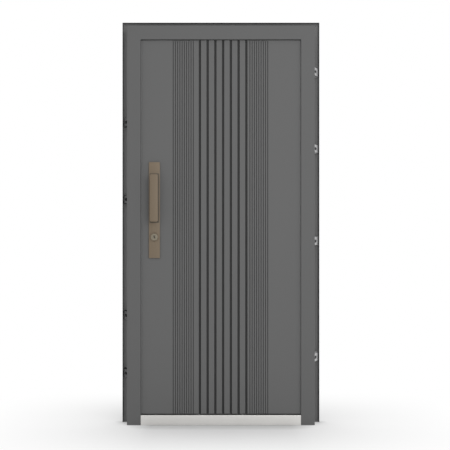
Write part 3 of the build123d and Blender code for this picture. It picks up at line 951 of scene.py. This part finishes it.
white_light = (1.0, 1.0, 1.0, 1.0)
ambient_strength = 0.78
ambient = add_node(world_tree, "ShaderNodeBackground",
                   {"Color": white_light, "Strength": ambient_strength})
backdrop = add_node(world_tree, "ShaderNodeBackground", {"Color": white_light, "Strength": 1.0})
surround = add_node(world_tree, "ShaderNodeMixShader", {}, {
    0: seen_ray(world_tree), 1: ambient.outputs[0], 2: backdrop.outputs[0],
})
add_node(world_tree, "ShaderNodeOutputWorld", {}, {0: surround.outputs[0]})

floor_half = 40.0
bare()
bpy.ops.mesh.primitive_plane_add(size=2 * floor_half, location=(0, 0, 0))
floor = settle("studio_floor")
floor_white, floor_tree, floor_shader, floor_place = new_material("floor_white")
floor_shader.inputs["Roughness"].default_value = 0.9
floor_shader.inputs["Specular IOR Level"].default_value = 0.0


def floor_distance(near_half, plane, depth_share):
    """How far a place of the floor is from the door's foot at a plane of its depth."""
    split = add_node(floor_tree, "ShaderNodeSeparateXYZ", {}, {"Vector": floor_place})
    across = add_node(floor_tree, "ShaderNodeMath", {}, {0: split.outputs["X"]},
                      operation="ABSOLUTE")
    past = add_node(floor_tree, "ShaderNodeMath", {1: near_half}, {0: across.outputs[0]},
                    operation="SUBTRACT")
    beside = add_node(floor_tree, "ShaderNodeMath", {1: 0.0}, {0: past.outputs[0]},
                      operation="MAXIMUM")
    depth = add_node(floor_tree, "ShaderNodeMath", {1: plane}, {0: split.outputs["Y"]},
                     operation="SUBTRACT")
    share = add_node(floor_tree, "ShaderNodeMath", {1: depth_share}, {0: depth.outputs[0]},
                     operation="MULTIPLY")
    both = add_node(floor_tree, "ShaderNodeCombineXYZ", {},
                    {"X": beside.outputs[0], "Y": share.outputs[0]})
    length = add_node(floor_tree, "ShaderNodeVectorMath", {}, {0: both.outputs[0]},
                      operation="LENGTH")
    return length.outputs["Value"]


def floor_shadow_level(near_half, plane, reach, darkest, lightest=1.0):
    """A painted shadow on the floor, from its darkest at the door's foot to its lightest at the
    reach.
    """
    level = add_node(floor_tree, "ShaderNodeMapRange",
                     {"From Min": 0.0, "From Max": reach, "To Min": darkest, "To Max": lightest},
                     {"Value": floor_distance(near_half, plane, depth_share=1.0)})
    return level.outputs["Result"]


frame_front = frame_low.y
frame_back = frame_high.y
# painted shadow: the floor darkens in front of the door, at the jambs' feet and behind the flange
front_level = floor_shadow_level(near_half=0.34, plane=frame_front, reach=0.14, darkest=0.60,
                          lightest=0.945)
foot_level = floor_shadow_level(near_half=0.455, plane=frame_front, reach=0.03, darkest=0.78)
flange_level = floor_shadow_level(near_half=0.50, plane=frame_back, reach=0.05, darkest=0.62)
feet = add_node(floor_tree, "ShaderNodeMath", {}, {0: foot_level, 1: flange_level},
                operation="MULTIPLY")
floor_shadow = add_node(floor_tree, "ShaderNodeMath", {}, {0: front_level, 1: feet.outputs[0]},
                    operation="MULTIPLY")
floor_tree.links.new(floor_shadow.outputs[0], floor_shader.inputs["Base Color"])
depth_fade = floor_distance(near_half=floor_half, plane=frame_front, depth_share=0.5)
front_fade = add_node(floor_tree, "ShaderNodeMapRange", {"From Min": 0.05, "From Max": 0.60},
                      {"Value": depth_fade}, interpolation_type="SMOOTHSTEP")
width_fade = floor_distance(near_half=0.36, plane=frame_front, depth_share=0.0)
side_reach = add_node(floor_tree, "ShaderNodeMapRange", {"From Min": 0.0, "From Max": 0.9},
                      {"Value": width_fade})
side_curve = 0.7
side_fade = add_node(floor_tree, "ShaderNodeMath", {1: side_curve},
                     {0: side_reach.outputs["Result"]}, operation="POWER")
fade = add_node(floor_tree, "ShaderNodeMapRange", {"To Max": 1.0},
                {"Value": side_fade.outputs[0], "To Min": front_fade.outputs["Result"]})
whitening = add_node(floor_tree, "ShaderNodeMath", {},
                     {0: fade.outputs["Result"], 1: seen_ray(floor_tree)}, operation="MULTIPLY")
white = add_node(floor_tree, "ShaderNodeEmission", {"Color": white_light, "Strength": 1.0})
floor_mix = add_node(floor_tree, "ShaderNodeMixShader", {}, {
    0: whitening.outputs[0], 1: floor_shader.outputs[0], 2: white.outputs[0],
})
floor_tree.links.new(floor_mix.outputs[0],
                     floor_tree.nodes["Material Output"].inputs["Surface"])
floor.data.materials.append(floor_white)

lamp_size = 3.2
lamp_power = 96.0
lamp_place = Vector((1.9, -5.1, 2.5))
lamp_target = Vector((0.0, 0.0, 1.1))
lamp_data = bpy.data.lights.new("side_lamp", "AREA")
lamp_data.shape = "RECTANGLE"
lamp_data.size = lamp_size
lamp_data.size_y = lamp_size
lamp_data.energy = lamp_power
lamp = bpy.data.objects.new("side_lamp", lamp_data)
scene.collection.objects.link(lamp)
lamp.location = lamp_place
lamp.rotation_euler = (lamp_target - lamp_place).to_track_quat("-Z", "Y").to_euler()

camera_distance = 5.782
camera_height = 1.0118
camera_side = 0.021
camera_lens = 91.5
camera_data = bpy.data.cameras.new("camera")
camera_data.lens = camera_lens
camera_data.sensor_width = 36.0
camera = bpy.data.objects.new("camera", camera_data)
scene.collection.objects.link(camera)
camera.location = (camera_side, frame_front - camera_distance, camera_height)
camera.rotation_euler = (math.pi / 2, 0.0, 0.0)
scene.camera = camera
